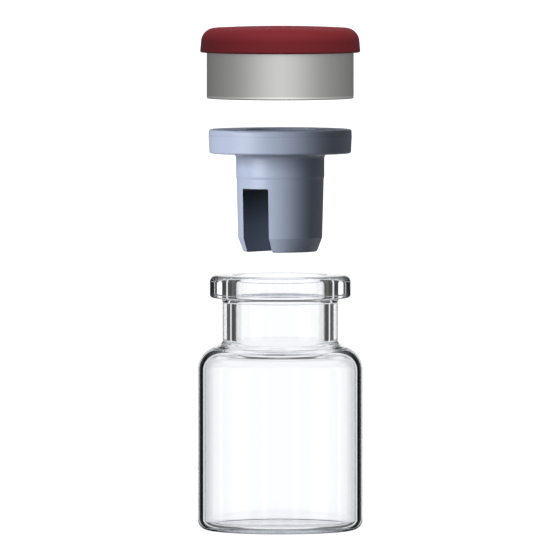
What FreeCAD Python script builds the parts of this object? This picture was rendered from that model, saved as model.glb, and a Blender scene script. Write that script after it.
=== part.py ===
"""A 20 mm crimp-neck serum vial: clear tubular glass, a two-leg freeze-drying stopper and an aluminium
seal with a plastic flip cap.

The vial stands on its base ring at the origin, +Z up. The stopper and the seal are modelled as the closure
shown taken off, in line above the neck. The stopper's slot runs along Y.
"""

import FreeCAD
import Part

import math
import os

import Sketcher

SHEET = "Sizes"
PARTS = "parts"
FULL_TURN = 360
HEIGHT_MATCH = 1e-4

# Driving dimensions, in millimetres.
DRIVING = {
    # glass vial
    "body_diameter": 23.4,
    "body_wall": 1.0,
    "vial_height": 36.1,
    "neck_diameter": 16.35,
    "bore_diameter": 12.6,
    "lip_diameter": 20.0,
    "lip_height": 3.2,
    "neck_foot_height": 26.5,
    "shoulder_rise": 1.45,
    "shoulder_wall": 1.1,
    "shoulder_radius": 3.5,
    "inner_shoulder_radius": 2.5,
    "neck_foot_radius": 0.7,
    "inner_neck_radius": 1.6,
    "lip_top_radius": 0.95,
    "lip_bore_radius": 0.8,
    "lip_under_radius": 0.45,
    "lip_neck_radius": 0.8,
    "heel_radius": 1.4,
    "inner_heel_radius": 1.2,
    "base_ring_width": 0.9,
    "base_wall": 0.8,
    "punt_height": 0.55,
    "floor_edge_height": 1.05,
    # rubber stopper
    "flange_overhang": 0.15,
    "flange_thickness": 3.4,
    "flange_edge_radius": 0.3,
    "flange_draft": 0.12,
    "trim_depth": 0.85,
    "trim_step": 0.03,
    "target_diameter": 9.0,
    "target_clearance": 0.15,
    "plug_clearance": 0.05,
    "seal_band_length": 3.25,
    "band_step": 0.08,
    "band_run": 0.35,
    "plug_length": 13.9,
    "leg_taper": 0.22,
    "leg_lead_height": 2.0,
    "leg_lead_inset": 0.75,
    "leg_tip_radius": 0.35,
    "plug_root_radius": 0.7,
    "slot_width": 4.55,
    "slot_height": 9.0,
    "slot_corner_radius": 0.35,
    # aluminium shell
    "foil": 0.2,
    "shell_clearance": 0.05,
    "shell_height": 7.4,
    "shell_corner_radius": 0.5,
    "skirt_edge_radius": 0.15,
    "score_diameter": 8.1,
    "score_gap": 0.05,
    # flip cap
    "cap_rise": 2.84,
    "cap_overlap": 0.9,
    "cap_clearance": 0.15,
    "rim_wall": 0.8,
    "rim_draft": 0.3,
    "cap_corner_radius": 2.0,
    "rim_edge_radius": 0.25,
    "dome_height": 0.35,
    "cap_top_wall": 1.0,
    "hub_seat": 0.25,
    "rivet_diameter": 2.9,
    "rivet_hole_clearance": 0.05,
    "rivet_head_diameter": 4.6,
    "rivet_head_height": 0.35,
    # the closure taken off, in line above the neck
    "stopper_gap": 3.34,
    "seal_gap": 4.36,
}


class Size:
    """A length with its value and the sheet expression that gives it, so that both come from one formula."""

    def __init__(self, value, text):
        self.value = float(value)
        self.text = text

    @staticmethod
    def of(other):
        return other if isinstance(other, Size) else Size(other, repr(other))

    def __add__(self, other):
        other = Size.of(other)
        return Size(self.value + other.value, f"({self.text} + {other.text})")

    def __sub__(self, other):
        other = Size.of(other)
        return Size(self.value - other.value, f"({self.text} - {other.text})")

    def __mul__(self, other):
        other = Size.of(other)
        return Size(self.value * other.value, f"({self.text} * {other.text})")

    def __truediv__(self, other):
        other = Size.of(other)
        return Size(self.value / other.value, f"({self.text} / {other.text})")


def make_sheet(doc):
    """The sheet of driving dimensions, and a Size for each of its cells."""
    sheet = doc.addObject("Spreadsheet::Sheet", SHEET)
    sizes = {}
    for row, (alias, value) in enumerate(DRIVING.items(), start=1):
        sheet.set(f"A{row}", alias)
        sheet.set(f"B{row}", str(value))
        sheet.setAlias(f"B{row}", alias)
        sizes[alias] = Size(value, f"{SHEET}.{alias}")
    doc.recompute()
    return sizes


def origin_plane(body, role):
    """The body's own origin plane of that role, such as XZ_Plane."""
    return next(f for f in body.Origin.OriginFeatures if f.Role == role)


def outline(body, name, corners, arcs=()):
    """A closed section on the body's XZ plane, right of the Z axis.

    corners are (radius, height) pairs of Size, in order. A radius of None puts the corner on the axis. Each
    index in arcs makes the edge after that corner an arc whose centre is on the axis.
    """
    sketch = body.newObject("Sketcher::SketchObject", name)
    sketch.AttachmentSupport = [(origin_plane(body, "XZ_Plane"), "")]
    sketch.MapMode = "FlatFace"
    places = [FreeCAD.Vector(r.value if r else 0, h.value, 0) for r, h in corners]
    count = len(corners)
    for i, start in enumerate(places):
        end = places[(i + 1) % count]
        if i in arcs:
            sketch.addGeometry(axis_arc(start, end), False)
        else:
            sketch.addGeometry(Part.LineSegment(start, end), False)
    ends = [edge_ends(sketch, i, places[i]) for i in range(count)]
    for i in range(count):
        after = (i + 1) % count
        sketch.addConstraint(Sketcher.Constraint("Coincident", i, ends[i][1], after, ends[after][0]))
    for i in arcs:
        sketch.addConstraint(Sketcher.Constraint("PointOnObject", i, 3, -2))
    for i, (radius, height) in enumerate(corners):
        pin_corner(sketch, i, ends[i][0], radius, height)
    return sketch


def axis_arc(start, end):
    """An arc from start to end whose centre is on the Z axis."""
    centre_height = (end.x**2 + end.y**2 - start.x**2 - start.y**2) / (2 * (end.y - start.y))
    centre = FreeCAD.Vector(0, centre_height, 0)
    angles = sorted(math.atan2(p.y - centre_height, p.x) for p in (start, end))
    circle = Part.Circle(centre, FreeCAD.Vector(0, 0, 1), start.distanceToPoint(centre))
    return Part.ArcOfCircle(circle, *angles)


def edge_ends(sketch, index, start):
    """The vertex numbers (first, last) of an edge that the outline walks from start."""
    first = sketch.Geometry[index].StartPoint
    return (1, 2) if first.distanceToPoint(start) < HEIGHT_MATCH else (2, 1)


def pin_corner(sketch, index, vertex, radius, height):
    """Ties a corner's radius and height to the sheet."""
    if radius is None:
        sketch.addConstraint(Sketcher.Constraint("PointOnObject", index, vertex, -2))
    else:
        bind_distance(sketch, "DistanceX", index, vertex, radius, f"radius_{index}")
    bind_distance(sketch, "DistanceY", index, vertex, height, f"height_{index}")


def bind_distance(sketch, kind, index, vertex, size, name):
    """A named distance from the sketch's origin to a vertex, driven by the sheet."""
    if abs(size.value) < HEIGHT_MATCH:
        sketch.addConstraint(Sketcher.Constraint("PointOnObject", index, vertex, -1))
        return
    made = sketch.addConstraint(Sketcher.Constraint(kind, -1, 1, index, vertex, size.value))
    sketch.renameConstraint(made, name)
    sketch.setExpression(f"Constraints.{name}", size.text)


def bind(feature, name, size):
    """Drives a feature's property by the sheet."""
    setattr(feature, name, size.value)
    feature.setExpression(name, size.text)


def revolve(body, kind, name, sketch):
    """A full turn of a section about the Z axis: kind is Revolution or Groove."""
    feature = body.newObject(f"PartDesign::{kind}", name)
    feature.Profile = sketch
    feature.ReferenceAxis = (sketch, ["V_Axis"])
    feature.Angle = FULL_TURN
    sketch.Visibility = False
    body.Document.recompute()
    return feature


def rings(shape, radius, height):
    """The names of the circular edges about the Z axis with that radius at that height."""
    names = []
    for number, edge in enumerate(shape.Edges, start=1):
        if edge.Degenerated or not isinstance(edge.Curve, Part.Circle):
            continue
        curve = edge.Curve
        near_height = abs(curve.Center.z - height.value) < HEIGHT_MATCH
        if near_height and abs(curve.Radius - radius.value) < HEIGHT_MATCH:
            names.append(f"Edge{number}")
    return names


def round_edges(body, name, edges, radius):
    """A fillet on edges of the body's last feature."""
    if not edges:
        raise ValueError(f"{name}: no edge found to round")
    last = body.Tip
    feature = body.newObject("PartDesign::Fillet", name)
    feature.Base = (last, edges)
    bind(feature, "Radius", radius)
    body.Document.recompute()
    return feature


def round_ring(body, name, radius_at, height, radius):
    """A fillet on the ring at that radius and height."""
    return round_edges(body, name, rings(body.Tip.Shape, radius_at, height), radius)


def new_body(doc, label, lift):
    """A body for one piece, lifted along Z by a Size."""
    body = doc.addObject("PartDesign::Body", label)
    body.Label = label
    body.Placement.Base = FreeCAD.Vector(0, 0, lift.value)
    body.setExpression("Placement.Base.z", lift.text)
    return body


def glass_vial(doc, s):
    """The vial: one piece of tubing, with a domed base, a straight neck and a crimp lip."""
    body = new_body(doc, "glass_vial", Size(0, "0"))
    floor = Size(0, "0")
    body_radius = s["body_diameter"] / 2
    neck_radius = s["neck_diameter"] / 2
    lip_radius = s["lip_diameter"] / 2
    bore_radius = s["bore_diameter"] / 2
    inner_radius = body_radius - s["body_wall"]
    punt_radius = body_radius - s["heel_radius"] - s["base_ring_width"]
    lip_under = s["vial_height"] - s["lip_height"]
    shoulder_corner = s["neck_foot_height"] - s["shoulder_rise"]

    outside = outline(
        body,
        "vial_outside",
        [
            (None, s["punt_height"]),
            (punt_radius, floor),
            (body_radius, floor),
            (body_radius, shoulder_corner),
            (neck_radius, s["neck_foot_height"]),
            (neck_radius, lip_under),
            (lip_radius, lip_under),
            (lip_radius, s["vial_height"]),
            (None, s["vial_height"]),
        ],
        arcs=(0,),
    )
    revolve(body, "Revolution", "vial_blank", outside)
    round_ring(body, "heel", body_radius, floor, s["heel_radius"])
    round_ring(body, "shoulder", body_radius, shoulder_corner, s["shoulder_radius"])
    round_ring(body, "neck_foot", neck_radius, s["neck_foot_height"], s["neck_foot_radius"])
    round_ring(body, "lip_neck", neck_radius, lip_under, s["lip_neck_radius"])
    round_ring(body, "lip_under_edge", lip_radius, lip_under, s["lip_under_radius"])
    round_ring(body, "lip_top_edge", lip_radius, s["vial_height"], s["lip_top_radius"])

    # The inside of the shoulder runs parallel to the outside, below it by shoulder_wall.
    slope = s["shoulder_rise"] / (body_radius - neck_radius)
    inner_corner = shoulder_corner + slope * s["body_wall"] - s["shoulder_wall"]
    inner_neck = s["neck_foot_height"] + slope * (neck_radius - bore_radius) - s["shoulder_wall"]
    inside = outline(
        body,
        "vial_inside",
        [
            (None, s["punt_height"] + s["base_wall"]),
            (inner_radius, s["floor_edge_height"]),
            (inner_radius, inner_corner),
            (bore_radius, inner_neck),
            (bore_radius, s["vial_height"]),
            (None, s["vial_height"]),
        ],
        arcs=(0,),
    )
    revolve(body, "Groove", "vial_cavity", inside)
    round_ring(body, "inner_heel", inner_radius, s["floor_edge_height"], s["inner_heel_radius"])
    round_ring(body, "inner_shoulder", inner_radius, inner_corner, s["inner_shoulder_radius"])
    round_ring(body, "inner_neck", bore_radius, inner_neck, s["inner_neck_radius"])
    round_ring(body, "lip_bore_edge", bore_radius, s["vial_height"], s["lip_bore_radius"])
    return body


def flange_radius(s):
    """The stopper flange's widest radius, a little past the lip that it seats on."""
    return s["lip_diameter"] / 2 + s["flange_overhang"]


def rubber_stopper(doc, s):
    """The two-leg stopper, its own zero at the flange's underside."""
    body = new_body(doc, "rubber_stopper", s["vial_height"] + s["stopper_gap"] + s["plug_length"])
    zero = Size(0, "0")
    trim_radius = flange_radius(s)
    under_radius = trim_radius - s["flange_draft"]
    top_radius = trim_radius - s["trim_step"]
    trim_height = s["flange_thickness"] - s["trim_depth"]
    band_radius = s["bore_diameter"] / 2 - s["plug_clearance"]
    plug_radius = band_radius - s["band_step"]
    lead_radius = plug_radius - s["leg_taper"]
    tip_radius = lead_radius - s["leg_lead_inset"]
    bottom = zero - s["plug_length"]
    target_radius = s["target_diameter"] / 2
    target_depth = s["rivet_head_height"] + s["target_clearance"]

    section = outline(
        body,
        "stopper_section",
        [
            (None, bottom),
            (tip_radius, bottom),
            (lead_radius, bottom + s["leg_lead_height"]),
            (plug_radius, zero - s["seal_band_length"] - s["band_run"]),
            (band_radius, zero - s["seal_band_length"]),
            (band_radius, zero),
            (under_radius, zero),
            (trim_radius, trim_height),
            (top_radius, trim_height),
            (top_radius, s["flange_thickness"]),
            (target_radius + target_depth, s["flange_thickness"]),
            (target_radius, s["flange_thickness"] - target_depth),
            (None, s["flange_thickness"] - target_depth),
        ],
    )
    revolve(body, "Revolution", "stopper_blank", section)
    round_ring(body, "flange_under_edge", under_radius, zero, s["flange_edge_radius"])
    round_ring(body, "flange_top_edge", top_radius, s["flange_thickness"], s["flange_edge_radius"])
    round_ring(body, "plug_root", band_radius, zero, s["plug_root_radius"])
    round_ring(body, "leg_tip", tip_radius, bottom, s["leg_tip_radius"])

    slot = body.newObject("Sketcher::SketchObject", "slot_section")
    slot.AttachmentSupport = [(origin_plane(body, "XZ_Plane"), "")]
    slot.MapMode = "FlatFace"
    slot_rectangle(slot, s["slot_width"] / 2, bottom, bottom + s["slot_height"])
    pocket = body.newObject("PartDesign::Pocket", "vent_slot")
    pocket.Profile = slot
    pocket.SideType = "Symmetric"
    pocket.Type = "ThroughAll"
    slot.Visibility = False
    doc.recompute()
    ceiling = bottom + s["slot_height"]
    corners = [
        f"Edge{number}"
        for number, edge in enumerate(pocket.Shape.Edges, start=1)
        if all(
            abs(v.Z - ceiling.value) < HEIGHT_MATCH
            and abs(abs(v.X) - s["slot_width"].value / 2) < HEIGHT_MATCH
            for v in edge.Vertexes
        )
        and isinstance(edge.Curve, Part.Line)
    ]
    round_edges(body, "slot_corners", corners, s["slot_corner_radius"])
    return body


def slot_rectangle(sketch, half_width, low, high):
    """A rectangle centred on the Z axis between two heights."""
    left, right = -half_width.value, half_width.value
    corners = [(left, low.value), (right, low.value), (right, high.value), (left, high.value)]
    places = [FreeCAD.Vector(x, y, 0) for x, y in corners]
    for i, start in enumerate(places):
        sketch.addGeometry(Part.LineSegment(start, places[(i + 1) % 4]), False)
    for i in range(4):
        sketch.addConstraint(Sketcher.Constraint("Coincident", i, 2, (i + 1) % 4, 1))
    sketch.addConstraint(Sketcher.Constraint("Vertical", 1))
    for side in (0, 2):
        sketch.addConstraint(Sketcher.Constraint("Symmetric", side, 1, side, 2, -2))
    bind_distance(sketch, "DistanceX", 0, 2, half_width, "half_width")
    bind_distance(sketch, "DistanceY", 0, 2, low, "low_edge")
    bind_distance(sketch, "DistanceY", 1, 2, high, "high_edge")


def seal_lift(s):
    """The height of the seal's bottom edge."""
    stopper_top = s["vial_height"] + s["stopper_gap"] + s["plug_length"] + s["flange_thickness"]
    return stopper_top + s["seal_gap"]


def shell_outer_radius(s):
    """The shell's outside, sized to slip over the stopper's flange."""
    return flange_radius(s) + s["shell_clearance"] + s["foil"]


def aluminium_shell(doc, s):
    """The drawn aluminium skirt and top ring, its own zero at the bottom edge."""
    body = new_body(doc, "aluminium_shell", seal_lift(s))
    zero = Size(0, "0")
    outer = shell_outer_radius(s)
    inner = outer - s["foil"]
    top = s["shell_height"]
    section = outline(
        body,
        "shell_section",
        [
            (inner, zero),
            (outer, zero),
            (outer, top),
            (s["score_diameter"] / 2, top),
            (s["score_diameter"] / 2, top - s["foil"]),
            (inner, top - s["foil"]),
        ],
    )
    revolve(body, "Revolution", "shell_blank", section)
    round_ring(body, "skirt_edge", outer, zero, s["skirt_edge_radius"])
    round_ring(body, "shell_corner", outer, top, s["shell_corner_radius"])
    round_ring(body, "shell_inner_corner", inner, top - s["foil"], s["shell_corner_radius"] - s["foil"])
    return body


def tear_off_disc(doc, s):
    """The scored centre of the shell, which tears out with the flip cap."""
    body = new_body(doc, "tear_off_disc", seal_lift(s) + s["shell_height"] - s["foil"])
    zero = Size(0, "0")
    outer = s["score_diameter"] / 2 - s["score_gap"]
    hole = s["rivet_diameter"] / 2 + s["rivet_hole_clearance"]
    section = outline(
        body,
        "disc_section",
        [(hole, zero), (outer, zero), (outer, s["foil"]), (hole, s["foil"])],
    )
    revolve(body, "Revolution", "disc_blank", section)
    return body


def flip_cap(doc, s):
    """The moulded flip cap with its rivet, its own zero at the shell's top face."""
    body = new_body(doc, "flip_cap", seal_lift(s) + s["shell_height"])
    zero = Size(0, "0")
    rim_bottom = zero - s["cap_overlap"]
    rim_inner = shell_outer_radius(s) + s["cap_clearance"]
    rim_outer = rim_inner + s["rim_wall"]
    shoulder = s["cap_rise"] - s["dome_height"]
    shoulder_radius = rim_outer - s["rim_draft"]
    ceiling = shoulder - s["cap_top_wall"]
    hub_radius = s["score_diameter"] / 2 + s["hub_seat"]
    well_radius = rim_inner - s["rim_wall"]
    stem_radius = s["rivet_diameter"] / 2
    head_radius = s["rivet_head_diameter"] / 2
    head_top = zero - s["foil"]
    section = outline(
        body,
        "cap_section",
        [
            (None, head_top - s["rivet_head_height"]),
            (head_radius - s["rivet_head_height"], head_top - s["rivet_head_height"]),
            (head_radius, head_top),
            (stem_radius, head_top),
            (stem_radius, zero),
            (hub_radius, zero),
            (hub_radius, ceiling),
            (well_radius, ceiling),
            (well_radius, zero),
            (rim_inner, zero),
            (rim_inner, rim_bottom),
            (rim_outer, rim_bottom),
            (shoulder_radius, shoulder),
            (None, s["cap_rise"]),
        ],
        arcs=(12,),
    )
    revolve(body, "Revolution", "cap_blank", section)
    round_ring(body, "cap_corner", shoulder_radius, shoulder, s["cap_corner_radius"])
    round_ring(body, "rim_edge", rim_outer, rim_bottom, s["rim_edge_radius"])
    return body


def check(doc, bodies):
    """Stops if any object failed or any piece isn't a valid solid."""
    for thing in doc.Objects:
        if "Invalid" in thing.State or "Error" in thing.State:
            raise RuntimeError(f"{thing.Label} failed: {thing.State}")
    for body in bodies:
        shape = body.Shape
        if shape.isNull() or not shape.isValid() or not shape.Solids:
            raise RuntimeError(f"{body.Label} isn't a valid solid")


def main():
    doc = FreeCAD.newDocument("serum_vial")
    sizes = make_sheet(doc)
    makers = (glass_vial, rubber_stopper, aluminium_shell, tear_off_disc, flip_cap)
    bodies = [make(doc, sizes) for make in makers]
    doc.recompute()
    check(doc, bodies)
    os.makedirs(PARTS, exist_ok=True)
    for body in bodies:
        body.Shape.exportStep(os.path.join(PARTS, f"{body.Label}.step"))
        box = body.Shape.BoundBox
        print(f"{body.Label}: {body.Shape.Volume:.1f} mm3, z {box.ZMin:.2f} to {box.ZMax:.2f}")


main()
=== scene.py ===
from math import acos, atan2, ceil, cos, degrees, pi, radians, sin, sqrt

import bpy
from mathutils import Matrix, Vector

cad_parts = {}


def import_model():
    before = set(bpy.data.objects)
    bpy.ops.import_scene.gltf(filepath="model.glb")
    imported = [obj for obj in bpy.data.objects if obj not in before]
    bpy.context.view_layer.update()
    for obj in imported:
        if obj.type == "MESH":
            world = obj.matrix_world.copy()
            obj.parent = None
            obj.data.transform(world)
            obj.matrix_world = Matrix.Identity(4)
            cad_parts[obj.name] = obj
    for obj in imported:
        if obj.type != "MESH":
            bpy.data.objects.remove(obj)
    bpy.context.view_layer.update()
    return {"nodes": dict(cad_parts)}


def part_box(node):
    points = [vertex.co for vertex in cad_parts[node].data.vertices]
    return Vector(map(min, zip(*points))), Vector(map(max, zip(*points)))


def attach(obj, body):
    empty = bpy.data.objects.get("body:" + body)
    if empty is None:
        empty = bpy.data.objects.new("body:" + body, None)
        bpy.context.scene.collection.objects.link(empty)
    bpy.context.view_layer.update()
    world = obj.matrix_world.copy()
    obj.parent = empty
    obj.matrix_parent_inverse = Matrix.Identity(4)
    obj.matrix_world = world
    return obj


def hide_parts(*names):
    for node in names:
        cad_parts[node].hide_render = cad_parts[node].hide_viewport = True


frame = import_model()

# The camera. The photograph is 560 pixels a side, and one of its pixels is PIXEL metres on the vial's axis.
FRAME_PIXELS = 560
PIXEL = 0.14154e-3
CAMERA_DISTANCE = 1.5
CAMERA_AZIMUTH = radians(38.0)
CAMERA_ELEVATION = radians(2.6)
BASE_ROW = 530
AXIS_COLUMN = 280.2
SENSOR = 36.0

# The vial's section, in metres, as in the CAD node. Its height and its barrel's radius come from the frame.
# Only the hollow's floor meets the wall a little lower and more sharply, for the way the light bends there.
BODY_WALL = 1.0e-3
NECK_RADIUS = 8.175e-3
BORE_RADIUS = 6.3e-3
LIP_RADIUS = 10.0e-3
LIP_HEIGHT = 3.2e-3
NECK_FOOT_HEIGHT = 26.5e-3
SHOULDER_RISE = 1.45e-3
SHOULDER_WALL = 1.1e-3
BASE_RING_WIDTH = 0.9e-3
BASE_WALL = 0.8e-3
PUNT_HEIGHT = 0.55e-3
FLOOR_EDGE_HEIGHT = 0.8e-3
# The radii of its rounded corners.
HEEL = 1.4e-3
SHOULDER = 3.5e-3
NECK_FOOT = 0.7e-3
LIP_NECK = 0.8e-3
LIP_UNDER = 0.45e-3
LIP_TOP = 0.95e-3
LIP_BORE = 0.8e-3
INNER_NECK = 1.6e-3
INNER_SHOULDER = 2.5e-3
INNER_HEEL = 0.6e-3
# The turned mesh: its segments round the axis, and the most degrees that one facet of an arc spans.
TURNED_SEGMENTS = 400
ARC_STEP = 7.0

# Heights on the loose pieces, and half the slot's width, in metres, as in the CAD nodes.
SKIRT_FOOT = 61.1e-3
TRIM_HEIGHT = 55.89e-3
STOPPER_FOOT = 39.44e-3
SLOT_CEILING = 48.44e-3
SLOT_HALF = 2.3e-3
# How far above the slot's ceiling its painted shade still holds, so that the ceiling has it too.
SLOT_SLACK = 0.01e-3
# What is only painted, not modelled: half the flange's groove of painted shade, and the tops of the painted
# shade along the skirt's cut and of the painted highlight on its edge.
GROOVE_HALF = 0.07e-3
CUT_TOP = SKIRT_FOOT + 0.14e-3
EDGE_TOP = SKIRT_FOOT + 0.4e-3
# How light these are beside the same piece's plain surface.
GROOVE_SHADE = 0.88
ABOVE_GROOVE_SHADE = 0.95
CUT_SHADE = 0.45
EDGE_HIGHLIGHT = 1.4
# Painted shade in the slot: how light its faces are painted from its ceiling to its foot.
SLOT_SHADE = [(0.0, 0.12), (0.25, 0.34), (0.6, 0.68), (1.0, 0.84)]

# Surface colours.
GLASS = (0.985, 0.99, 0.998, 1.0)
GLASS_SHADOW = (0.98, 0.983, 0.985, 1.0)
RUBBER_DARKER = (0.43, 0.5, 0.66, 1.0)
RUBBER_PALER = (0.47, 0.54, 0.7, 1.0)
ALUMINIUM = (0.55, 0.55, 0.54)
CAP_RED = (0.16, 0.018, 0.023, 1.0)
FLOOR_GREY = (0.9, 0.9, 0.9, 1.0)
# The depth of the surfaces' fine grain, in metres.
GRAIN_DEPTH = 0.1e-3

# Light levels: 1 is the light under which a facing white surface renders as just white.
AMBIENT_LEVEL = 0.06
KEY_LEVEL = 1.18
FRONT_LEVEL = 1.52
BACK_LEVEL = 0.7
FLOOR_LEVEL = 1.0
# The floor's own glow, for the camera and for all other rays.
FLOOR_GLOW = 0.25
FLOOR_GLOW_FOR_OTHERS = 0.15
FLOOR_HALF = 6.0

# What a glass wall mirrors inside itself: the level at each angle from straight behind. Round the object the
# same levels run back and repeat every two STRIPE_TURN degrees.
STRIPE_TURN = 60.0
STRIPES = [
    (0, 1.35),
    (13, 1.35),
    (17, 0.0),
    (33, 0.0),
    (35.5, 0.9),
    (39, 0.9),
    (42, 0.02),
    (52, 0.02),
    (58, 0.1),
    (90, 0.1),
]
# What glass mirrors on its outside, at each angle from straight behind.
AROUND_GLASS = [(0, 1.0), (13, 1.0), (19, 0.02), (42, 0.02), (50, 0.9), (180, 0.9)]
# What shows through a rim of glass that bends light like a lens, at each angle from straight behind.
THROUGH_RIM = [(0, 1.0), (22, 1.0), (30, 0.02), (85, 0.02), (100, 0.9), (180, 0.9)]
# The levels that show through glass at each angle above the horizon.
ABOVE = [(0, 1.0), (14, 1.0), (18, 0.03), (28, 0.03), (33, 0.95), (90, 0.95)]
# The least level at each angle above the horizon, and below it, of what a glass wall mirrors inside itself.
LEAST_ABOVE = [(0, 0.0), (28, 0.0), (33, 0.95), (90, 0.95)]
LEAST_BELOW = [(0, 0.0), (55, 0.0), (65, 0.95), (90, 0.95)]
# What is left of light that a glass wall has mirrored more than once, at each angle from the horizon, and
# how far that light is lifted towards white.
MIRRORED_AGAIN = [(0, 0.15), (10, 0.15), (20, 1.0), (90, 1.0)]
LIFTED_AGAIN = [(0, 0.0), (10, 0.0), (20, 0.8), (90, 0.8)]
# Light through a rim comes from the floor only this near the object, and from the room past it.
NEAR_FLOOR = 0.25
# What satin metal, rubber and plastic mirror, at each angle from straight behind.
ROOM = [(0, 0.1), (15, 0.12), (30, 0.21), (60, 0.31), (105, 0.42), (125, 0.6), (150, 0.97), (180, 1.38)]
# What they mirror of the ground, and how much of it shows as a direction dips: stops of (dip, share).
GROUND_LEVEL = 0.9
GROUND_SHARE = [(0.0, 0.0), (0.15, 0.0), (0.5, 1.0)]
# Lengths below this count as nothing, in metres.
TINY = 1e-9


class Graph:
    """A node tree, with short calls that add its nodes and join them."""

    def __init__(self, tree):
        self.tree = tree
        tree.nodes.clear()

    def node(self, kind, inputs=None, **settings):
        made = self.tree.nodes.new(kind)
        for name, value in settings.items():
            setattr(made, name, value)
        for name, value in (inputs or {}).items():
            self.put(made.inputs[name], value)
        return made

    def put(self, socket, value):
        """Joins a socket to another one, or sets its number or colour."""
        if isinstance(value, bpy.types.NodeSocket):
            self.tree.links.new(value, socket)
        else:
            socket.default_value = value

    def math(self, operation, *values):
        made = self.node("ShaderNodeMath", operation=operation)
        for socket, value in zip(made.inputs, values):
            self.put(socket, value)
        return made.outputs[0]

    def mix(self, factor, first, second):
        """A shader between two others: factor 0 is the first, 1 the second."""
        made = self.node("ShaderNodeMixShader")
        for socket, value in zip(made.inputs, (factor, first, second)):
            self.put(socket, value)
        return made.outputs[0]

    def between(self, factor, first, second):
        """A number between two others."""
        made = self.node("ShaderNodeMix")
        for name, value in (("Factor", factor), ("A", first), ("B", second)):
            self.put(made.inputs[name], value)
        return made.outputs["Result"]

    def ramp(self, factor, stops):
        """A grey level along stops of (place, level)."""
        made = self.node("ShaderNodeValToRGB", {"Fac": factor})
        elements = made.color_ramp.elements
        while len(elements) < len(stops):
            elements.new(1.0)
        for element, (place, level) in zip(elements, stops):
            element.position = place
            element.color = (level, level, level, 1.0)
        return made.outputs["Color"]

    def band(self, value, low, high):
        """1 where the value is between low and high, else 0."""
        over = self.math("GREATER_THAN", value, low)
        under = self.math("LESS_THAN", value, high)
        return self.math("MULTIPLY", over, under)

    def shaded(self, colour, level):
        """A colour made darker or lighter by a level."""
        made = self.node("ShaderNodeVectorMath", {0: colour}, operation="SCALE")
        self.put(made.inputs["Scale"], level)
        return made.outputs[0]

    def noise(self, scale, detail=2.0, stretch=(1.0, 1.0, 1.0)):
        """Noise fixed in the piece's own space, with scale in features per metre."""
        place = self.node("ShaderNodeTexCoord").outputs["Object"]
        if stretch != (1.0, 1.0, 1.0):
            place = self.node("ShaderNodeMapping", {"Vector": place, "Scale": stretch}).outputs[0]
        made = self.node("ShaderNodeTexNoise", {"Vector": place, "Scale": scale, "Detail": detail})
        return made.outputs["Fac"]

    def bump(self, grain, strength):
        """A normal roughened by a grain."""
        made = self.node("ShaderNodeBump", {"Strength": strength, "Distance": GRAIN_DEPTH, "Height": grain})
        return made.outputs[0]

    def place(self):
        """The three coordinates of a point in the frame."""
        made = self.node("ShaderNodeTexCoord")
        return self.node("ShaderNodeSeparateXYZ", {"Vector": made.outputs["Object"]}).outputs


def material(name):
    made = bpy.data.materials.new(name)
    made.use_nodes = True
    return made, Graph(made.node_tree)


def clear_glass():
    """Clear glass. Lamps shine through it, so its shadow is as light as that of real glass."""
    made, graph = material("clear_glass")
    glass = graph.node("ShaderNodeBsdfGlass", {"Color": GLASS, "Roughness": 0.0, "IOR": 1.5})
    path = graph.node("ShaderNodeLightPath")
    through = graph.node("ShaderNodeBsdfTransparent", {"Color": GLASS_SHADOW})
    unseen = graph.math("MAXIMUM", path.outputs["Is Shadow Ray"], path.outputs["Is Diffuse Ray"])
    shader = graph.mix(unseen, glass.outputs[0], through.outputs[0])
    graph.node("ShaderNodeOutputMaterial", {"Surface": shader})
    return made


def stopper_rubber():
    made, graph = material("stopper_rubber")
    cloud = graph.noise(220.0)
    colour = graph.node("ShaderNodeValToRGB", {"Fac": cloud})
    colour.color_ramp.elements[0].color = RUBBER_DARKER
    colour.color_ramp.elements[1].color = RUBBER_PALER
    x, _, height = graph.place()
    # Painted shade marks a fine groove round the flange, and the rubber is a little darker above it.
    painted_groove = graph.band(height, TRIM_HEIGHT - GROOVE_HALF, TRIM_HEIGHT + GROOVE_HALF)
    over_groove = graph.math("GREATER_THAN", height, TRIM_HEIGHT)
    # The slot's own faces are the only ones this near the axis below its ceiling, and they get painted
    # shade, darkest at the ceiling.
    below = graph.math("SUBTRACT", SLOT_CEILING, height)
    low = graph.math("GREATER_THAN", below, -SLOT_SLACK)
    inside = graph.math("MULTIPLY", graph.band(x, -SLOT_HALF, SLOT_HALF), low)
    painted_slot_shade = graph.ramp(graph.math("DIVIDE", below, SLOT_CEILING - STOPPER_FOOT), SLOT_SHADE)
    level = graph.between(inside, 1.0, painted_slot_shade)
    level = graph.math("MULTIPLY", level, graph.between(over_groove, 1.0, ABOVE_GROOVE_SHADE))
    level = graph.math("MULTIPLY", level, graph.between(painted_groove, 1.0, GROOVE_SHADE))
    surface = graph.node(
        "ShaderNodeBsdfPrincipled",
        {
            "Base Color": graph.shaded(colour.outputs["Color"], level),
            "Roughness": 0.37,
            "Specular IOR Level": 0.4,
            "Normal": graph.bump(graph.noise(2500.0, detail=3.0), 0.12),
        },
    )
    graph.node("ShaderNodeOutputMaterial", {"Surface": surface.outputs[0]})
    return made


def seal_aluminium():
    made, graph = material("seal_aluminium")
    grain = graph.noise(1500.0, detail=4.0, stretch=(1.0, 1.0, 0.25))
    _, _, height = graph.place()
    # The skirt gets a painted highlight along its rounded edge, and painted shade along its cut below that.
    painted_highlight = graph.between(graph.band(height, CUT_TOP, EDGE_TOP), 1.0, EDGE_HIGHLIGHT)
    cut = graph.between(graph.math("LESS_THAN", height, CUT_TOP), 1.0, CUT_SHADE)
    level = graph.math("MULTIPLY", painted_highlight, cut)
    surface = graph.node(
        "ShaderNodeBsdfPrincipled",
        {
            "Base Color": graph.shaded(ALUMINIUM, level),
            "Metallic": 1.0,
            "Roughness": 0.42,
            "Normal": graph.bump(grain, 0.05),
        },
    )
    graph.node("ShaderNodeOutputMaterial", {"Surface": surface.outputs[0]})
    return made


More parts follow.
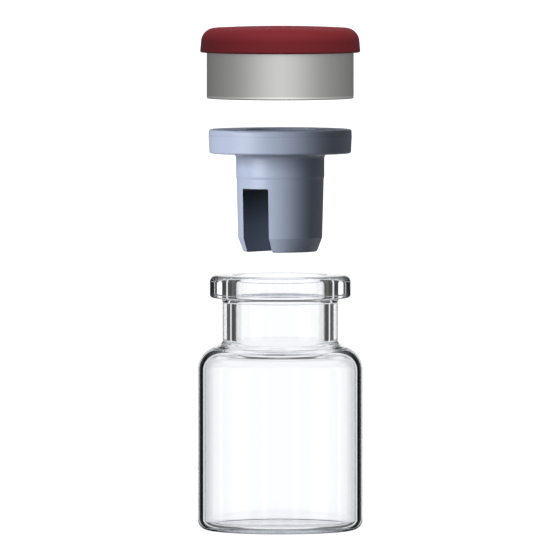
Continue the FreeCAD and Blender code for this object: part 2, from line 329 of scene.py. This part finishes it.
def cap_plastic():
    made, graph = material("cap_plastic")
    surface = graph.node(
        "ShaderNodeBsdfPrincipled",
        {
            "Base Color": CAP_RED,
            "Roughness": 0.65,
            "Specular IOR Level": 0.22,
            "Normal": graph.bump(graph.noise(3000.0, detail=3.0), 0.1),
        },
    )
    graph.node("ShaderNodeOutputMaterial", {"Surface": surface.outputs[0]})
    return made


class Section:
    """A path of spans, each (start, start normal, end, end normal), with the glass on the path's left."""

    def __init__(self):
        self.spans = []

    def line(self, start, end):
        along = (end - start).normalized()
        normal = Vector((along.y, -along.x))
        self.spans.append((start, normal, end, normal))

    def arc(self, centre, start, end):
        """The shorter arc about centre from start to end."""
        radius = (start - centre).length
        first = atan2(start.y - centre.y, start.x - centre.x)
        turn = (atan2(end.y - centre.y, end.x - centre.x) - first + pi) % (2 * pi) - pi
        count = max(1, ceil(degrees(abs(turn)) / ARC_STEP))
        outward = 1 if turn > 0 else -1
        angles = [first + turn * i / count for i in range(count + 1)]
        ways = [Vector((cos(angle), sin(angle))) for angle in angles]
        for way, after in zip(ways, ways[1:]):
            begins = centre + radius * way
            ends = centre + radius * after
            self.spans.append((begins, outward * way, ends, outward * after))

    def rounded(self, corners):
        """Straight runs between corners of (radius, height, rounding), each corner but the ends rounded."""
        at = Vector(corners[0][:2])
        for before, corner, after in zip(corners, corners[1:], corners[2:]):
            place = Vector(corner[:2])
            back = (Vector(before[:2]) - place).normalized()
            ahead = (Vector(after[:2]) - place).normalized()
            half = acos(max(-1.0, min(1.0, back.dot(ahead)))) / 2
            reach = corner[2] * cos(half) / sin(half)
            centre = place + (back + ahead).normalized() * corner[2] / sin(half)
            self.line(at, place + back * reach)
            self.arc(centre, place + back * reach, place + ahead * reach)
            at = place + ahead * reach
        self.line(at, Vector(corners[-1][:2]))


def axis_centre(start, end):
    """The point on the axis that is as far from start as from end."""
    rise = (end.length_squared - start.length_squared) / (2 * (end.y - start.y))
    return Vector((0.0, rise))


def turned(name, spans):
    """A mesh turned about the Z axis from a section's spans, with the section's exact normals."""
    rings = []
    faces = []
    normals = []
    vertices = []
    angles = [2 * pi * i / TURNED_SEGMENTS for i in range(TURNED_SEGMENTS)]
    ways = [(cos(angle), sin(angle)) for angle in angles]
    for start, _, _, _ in spans:
        rings.append(len(vertices))
        if start.x < TINY:
            vertices.append((0.0, 0.0, start.y))
        else:
            vertices.extend((start.x * x, start.x * y, start.y) for x, y in ways)
    end = spans[-1][2]
    rings.append(len(vertices))
    vertices.append((0.0, 0.0, end.y))
    for ring, after, (start, low, end, high) in zip(rings, rings[1:], spans):
        for i in range(TURNED_SEGMENTS):
            j = (i + 1) % TURNED_SEGMENTS
            if start.x < TINY:
                corners = [(ring, low, i), (after + j, high, j), (after + i, high, i)]
            elif end.x < TINY:
                corners = [(ring + i, low, i), (ring + j, low, j), (after, high, i)]
            else:
                near = [(ring + i, low, i), (ring + j, low, j)]
                corners = near + [(after + j, high, j), (after + i, high, i)]
            faces.append([vertex for vertex, _, _ in corners])
            normals.extend((way.x * ways[k][0], way.x * ways[k][1], way.y) for _, way, k in corners)
    mesh = bpy.data.meshes.new(name)
    mesh.from_pydata(vertices, [], faces)
    mesh.polygons.foreach_set("use_smooth", [True] * len(faces))
    mesh.normals_split_custom_set(normals)
    return mesh


def glass_vial(made):
    """The vial turned finely enough for its glass to bend light as the real one does."""
    _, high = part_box("glass_vial")
    body_radius = high[0]
    top = high[2]
    inner_radius = body_radius - BODY_WALL
    punt_radius = body_radius - HEEL - BASE_RING_WIDTH
    shoulder = NECK_FOOT_HEIGHT - SHOULDER_RISE
    slope = SHOULDER_RISE / (body_radius - NECK_RADIUS)
    inner_shoulder = shoulder + slope * BODY_WALL - SHOULDER_WALL
    inner_neck = NECK_FOOT_HEIGHT + slope * (NECK_RADIUS - BORE_RADIUS) - SHOULDER_WALL
    lip_under = top - LIP_HEIGHT

    section = Section()
    punt = Vector((0.0, PUNT_HEIGHT))
    ring = Vector((punt_radius, 0.0))
    section.arc(axis_centre(punt, ring), punt, ring)
    middle = (LIP_RADIUS + BORE_RADIUS) / 2
    section.rounded([
        (punt_radius, 0.0, 0.0),
        (body_radius, 0.0, HEEL),
        (body_radius, shoulder, SHOULDER),
        (NECK_RADIUS, NECK_FOOT_HEIGHT, NECK_FOOT),
        (NECK_RADIUS, lip_under, LIP_NECK),
        (LIP_RADIUS, lip_under, LIP_UNDER),
        (LIP_RADIUS, top, LIP_TOP),
        (middle, top, 0.0),
    ])
    floor_middle = Vector((0.0, PUNT_HEIGHT + BASE_WALL))
    floor_edge = Vector((inner_radius, FLOOR_EDGE_HEIGHT))
    floor_centre = axis_centre(floor_middle, floor_edge)
    floor_radius = floor_middle.y - floor_centre.y
    # The inner heel's arc touches the wall and the domed floor, both from above.
    heel_x = inner_radius - INNER_HEEL
    heel_y = floor_centre.y + sqrt((floor_radius + INNER_HEEL) ** 2 - heel_x**2)
    heel_centre = Vector((heel_x, heel_y))
    wall_end = Vector((inner_radius, heel_y))
    floor_start = floor_centre + (heel_centre - floor_centre).normalized() * floor_radius
    section.rounded([
        (middle, top, 0.0),
        (BORE_RADIUS, top, LIP_BORE),
        (BORE_RADIUS, inner_neck, INNER_NECK),
        (inner_radius, inner_shoulder, INNER_SHOULDER),
        (inner_radius, heel_y, 0.0),
    ])
    section.arc(heel_centre, wall_end, floor_start)
    section.arc(floor_centre, floor_start, floor_middle)

    vial = add("vial_glass", turned("vial_glass", section.spans))
    vial.data.materials.append(made)
    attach(vial, "vial")
    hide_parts("glass_vial")


def dress(node, made):
    """Gives every material slot of a CAD node the one material."""
    for slot in frame["nodes"][node].material_slots:
        slot.material = made


def toward(azimuth, elevation):
    """The direction of a place round the object, with azimuth 0 at the front and growing to the right."""
    return Vector((sin(azimuth) * cos(elevation), -cos(azimuth) * cos(elevation), sin(elevation)))


def aim(thing, place, target):
    thing.location = place
    thing.rotation_euler = (target - place).to_track_quat("-Z", "Y").to_euler()


def add(name, data):
    thing = bpy.data.objects.new(name, data)
    bpy.context.scene.collection.objects.link(thing)
    return thing


def camera():
    data = bpy.data.cameras.new("camera")
    data.sensor_width = SENSOR
    span = FRAME_PIXELS * PIXEL
    data.lens = SENSOR * CAMERA_DISTANCE / span
    data.shift_x = (FRAME_PIXELS / 2 - AXIS_COLUMN) / FRAME_PIXELS
    data.clip_end = 50.0
    thing = add("camera", data)
    target = Vector((0.0, 0.0, (BASE_ROW - FRAME_PIXELS / 2) * PIXEL))
    aim(thing, target + toward(CAMERA_AZIMUTH, CAMERA_ELEVATION) * CAMERA_DISTANCE, target)
    bpy.context.scene.camera = thing


def light_only(thing, lit):
    """Lets a light reach only the things in lit."""
    group = bpy.data.collections.new(thing.name + "_lights")
    for other in lit:
        group.objects.link(other)
    thing.light_linking.receiver_collection = group


def lamp(name, turn, elevation, distance, size, level, target, lit):
    """A square soft lamp that lights only the things in lit. turn is its azimuth from the camera's."""
    data = bpy.data.lights.new(name, "AREA")
    data.shape = "SQUARE"
    data.size = size
    data.energy = level * (pi * distance) ** 2
    thing = add(name, data)
    place = target + toward(CAMERA_AZIMUTH + radians(turn), radians(elevation)) * distance
    aim(thing, place, target)
    thing.visible_camera = False
    thing.visible_transmission = False
    light_only(thing, lit)
    return thing


def sun(name, level, lit):
    """A wide soft sun overhead, which lights only the things in lit."""
    data = bpy.data.lights.new(name, "SUN")
    data.energy = level * pi
    data.angle = radians(70.0)
    thing = add(name, data)
    thing.location = (0.0, 0.0, 1.0)
    light_only(thing, lit)


class Rays:
    """Switches for the kinds of ray. Each is 1 for its own kind and 0 for the rest."""

    def __init__(self, graph):
        path = graph.node("ShaderNodeLightPath")
        mirrored = graph.math("GREATER_THAN", path.outputs["Glossy Depth"], 0.5)
        sharp = path.outputs["Is Singular Ray"]
        walls = path.outputs["Transmission Depth"]
        # A ray goes into a wall and out of it, so two crossings are one wall.
        entered = graph.math("GREATER_THAN", walls, 0.5)
        self.one_wall = graph.math("MULTIPLY", entered, graph.math("LESS_THAN", walls, 2.5))
        self.camera = path.outputs["Is Camera Ray"]
        self.clear = graph.math("MULTIPLY", sharp, graph.math("SUBTRACT", 1.0, mirrored))
        self.seen = graph.math("MAXIMUM", self.camera, self.clear)
        self.mirrored = graph.math("MULTIPLY", sharp, mirrored)
        self.mirrored_again = graph.math("GREATER_THAN", path.outputs["Glossy Depth"], 1.5)
        self.rough = graph.math("SUBTRACT", path.outputs["Is Glossy Ray"], sharp)


def floor():
    """A pale floor. It renders white where it is lit, and keeps the object's shadow."""
    half = FLOOR_HALF
    corners = [(-half, -half, 0), (half, -half, 0), (half, half, 0), (-half, half, 0)]
    mesh = bpy.data.meshes.new("floor")
    mesh.from_pydata(corners, [], [(0, 1, 2, 3)])
    made, graph = material("floor")
    rays = Rays(graph)
    matt = graph.node("ShaderNodeBsdfDiffuse", {"Color": FLOOR_GREY})
    strength = graph.between(rays.camera, FLOOR_GLOW_FOR_OTHERS, FLOOR_GLOW)
    glow = graph.node("ShaderNodeEmission", {"Strength": strength})
    pale = graph.node("ShaderNodeAddShader")
    graph.put(pale.inputs[0], matt.outputs[0])
    graph.put(pale.inputs[1], glow.outputs[0])
    nothing = graph.node("ShaderNodeBsdfTransparent")
    place = graph.node("ShaderNodeNewGeometry").outputs["Position"]
    reach = graph.node("ShaderNodeVectorMath", {0: place}, operation="LENGTH").outputs["Value"]
    far = graph.math("MULTIPLY", graph.math("GREATER_THAN", reach, NEAR_FLOOR), rays.one_wall)
    through = graph.math("MULTIPLY", rays.clear, graph.math("SUBTRACT", 1.0, far))
    shown = graph.math("MAXIMUM", rays.camera, through)
    shader = graph.mix(shown, nothing.outputs[0], pale.outputs[0])
    graph.node("ShaderNodeOutputMaterial", {"Surface": shader})
    mesh.materials.append(made)
    thing = add("floor", mesh)
    thing.visible_shadow = False
    return thing


def world():
    """White for the camera and through glass, stripes for what glass mirrors, a grey room for the rest."""
    made = bpy.data.worlds.new("studio")
    bpy.context.scene.world = made
    made.use_nodes = True
    graph = Graph(made.node_tree)
    rays = Rays(graph)
    direction = graph.node("ShaderNodeTexCoord").outputs["Generated"]
    x, y, z = graph.node("ShaderNodeSeparateXYZ", {"Vector": direction}).outputs
    turn = graph.math("ARCTAN2", y, x)
    # The direction straight behind the object, as the camera sees it.
    behind = radians(90.0) + CAMERA_AZIMUTH
    off = graph.math("SUBTRACT", turn, behind)
    height = graph.math("DIVIDE", graph.math("ARCSINE", graph.math("ABSOLUTE", z)), radians(90.0))
    level_part = graph.math("SQRT", graph.math("SUBTRACT", 1.0, graph.math("MULTIPLY", z, z)))
    above = graph.ramp(height, shares(ABOVE, 90.0))
    # The angle from straight behind in any direction, and the same for the nearest stripe's middle.
    apart = graph.math("DIVIDE", angle_of(graph, off, level_part), pi)
    turned_back = graph.math("MULTIPLY", folded(graph, off, STRIPE_TURN), radians(STRIPE_TURN))
    stripe = graph.math("DIVIDE", angle_of(graph, turned_back, level_part), radians(90.0))
    least = graph.between(
        graph.math("GREATER_THAN", z, 0.0),
        graph.ramp(height, shares(LEAST_BELOW, 90.0)),
        graph.ramp(height, shares(LEAST_ABOVE, 90.0)),
    )
    striped = graph.math("MAXIMUM", graph.ramp(stripe, shares(STRIPES, 90.0)), least)
    plain = graph.ramp(apart, shares(AROUND_GLASS, 180.0))
    rim = graph.ramp(apart, shares(THROUGH_RIM, 180.0))
    around = folded(graph, off, 180.0)
    room = graph.ramp(around, shares(ROOM, 180.0))
    below = graph.ramp(graph.math("MULTIPLY", z, -1.0), GROUND_SHARE)
    room = graph.between(below, room, GROUND_LEVEL)
    through = graph.between(rays.one_wall, above, rim)
    seen = graph.between(rays.camera, through, 1.0)
    mirrored = graph.between(rays.one_wall, plain, striped)
    again = graph.ramp(height, shares(MIRRORED_AGAIN, 90.0))
    weaker = graph.math("MULTIPLY", mirrored, again)
    lift = graph.ramp(height, shares(LIFTED_AGAIN, 90.0))
    mirrored = graph.between(rays.mirrored_again, mirrored, graph.between(lift, weaker, 1.0))
    level = graph.between(rays.seen, AMBIENT_LEVEL, seen)
    level = graph.between(rays.mirrored, level, mirrored)
    level = graph.between(rays.rough, level, room)
    background = graph.node("ShaderNodeBackground", {"Color": (1.0, 1.0, 1.0, 1.0), "Strength": level})
    graph.node("ShaderNodeOutputWorld", {"Surface": background.outputs[0]})


def shares(levels, whole):
    """Stops of (angle, level) as stops of (share of the whole angle, level)."""
    return [(angle / whole, level) for angle, level in levels]


def angle_of(graph, turn, level_part):
    """The angle from straight behind of a direction with this turn and this length of its level part."""
    return graph.math("ARCCOSINE", graph.math("MULTIPLY", graph.math("COSINE", turn), level_part))


def folded(graph, angle, half):
    """The angle folded to and fro between 0 and half degrees, as a share of half."""
    # The added even number keeps the turns above 0.
    turns = graph.math("ADD", graph.math("DIVIDE", angle, radians(half)), 8.0)
    return graph.math("PINGPONG", turns, 1.0)


def lamps(ground):
    nodes = frame["nodes"]
    stopper = [nodes["rubber_stopper"]]
    cap = [nodes["flip_cap"]]
    middle = Vector((0.0, 0.0, 0.05))
    top = Vector((0.0, 0.0, 0.065))
    lamp("key", -56.5, 12.0, 0.5, 0.34, KEY_LEVEL, middle, stopper)
    front = lamp("front", 2.0, 53.0, 0.6, 0.5, FRONT_LEVEL, top, cap)
    back = lamp("back", 180.0, 25.0, 0.7, 0.4, BACK_LEVEL, middle, stopper + cap)
    # The room's own levels give these two pieces their gloss.
    front.visible_glossy = False
    back.visible_glossy = False
    sun("floor_light", FLOOR_LEVEL, [ground])


def quality():
    scene = bpy.context.scene
    scene.view_settings.view_transform = "Standard"
    scene.cycles.max_bounces = 32
    scene.cycles.transmission_bounces = 32
    scene.cycles.glossy_bounces = 16
    scene.cycles.transparent_max_bounces = 16
    scene.cycles.caustics_reflective = False
    scene.cycles.caustics_refractive = False


glass_vial(clear_glass())
dress("rubber_stopper", stopper_rubber())
metal = seal_aluminium()
dress("aluminium_shell", metal)
dress("tear_off_disc", metal)
dress("flip_cap", cap_plastic())
camera()
world()
lamps(floor())
quality()
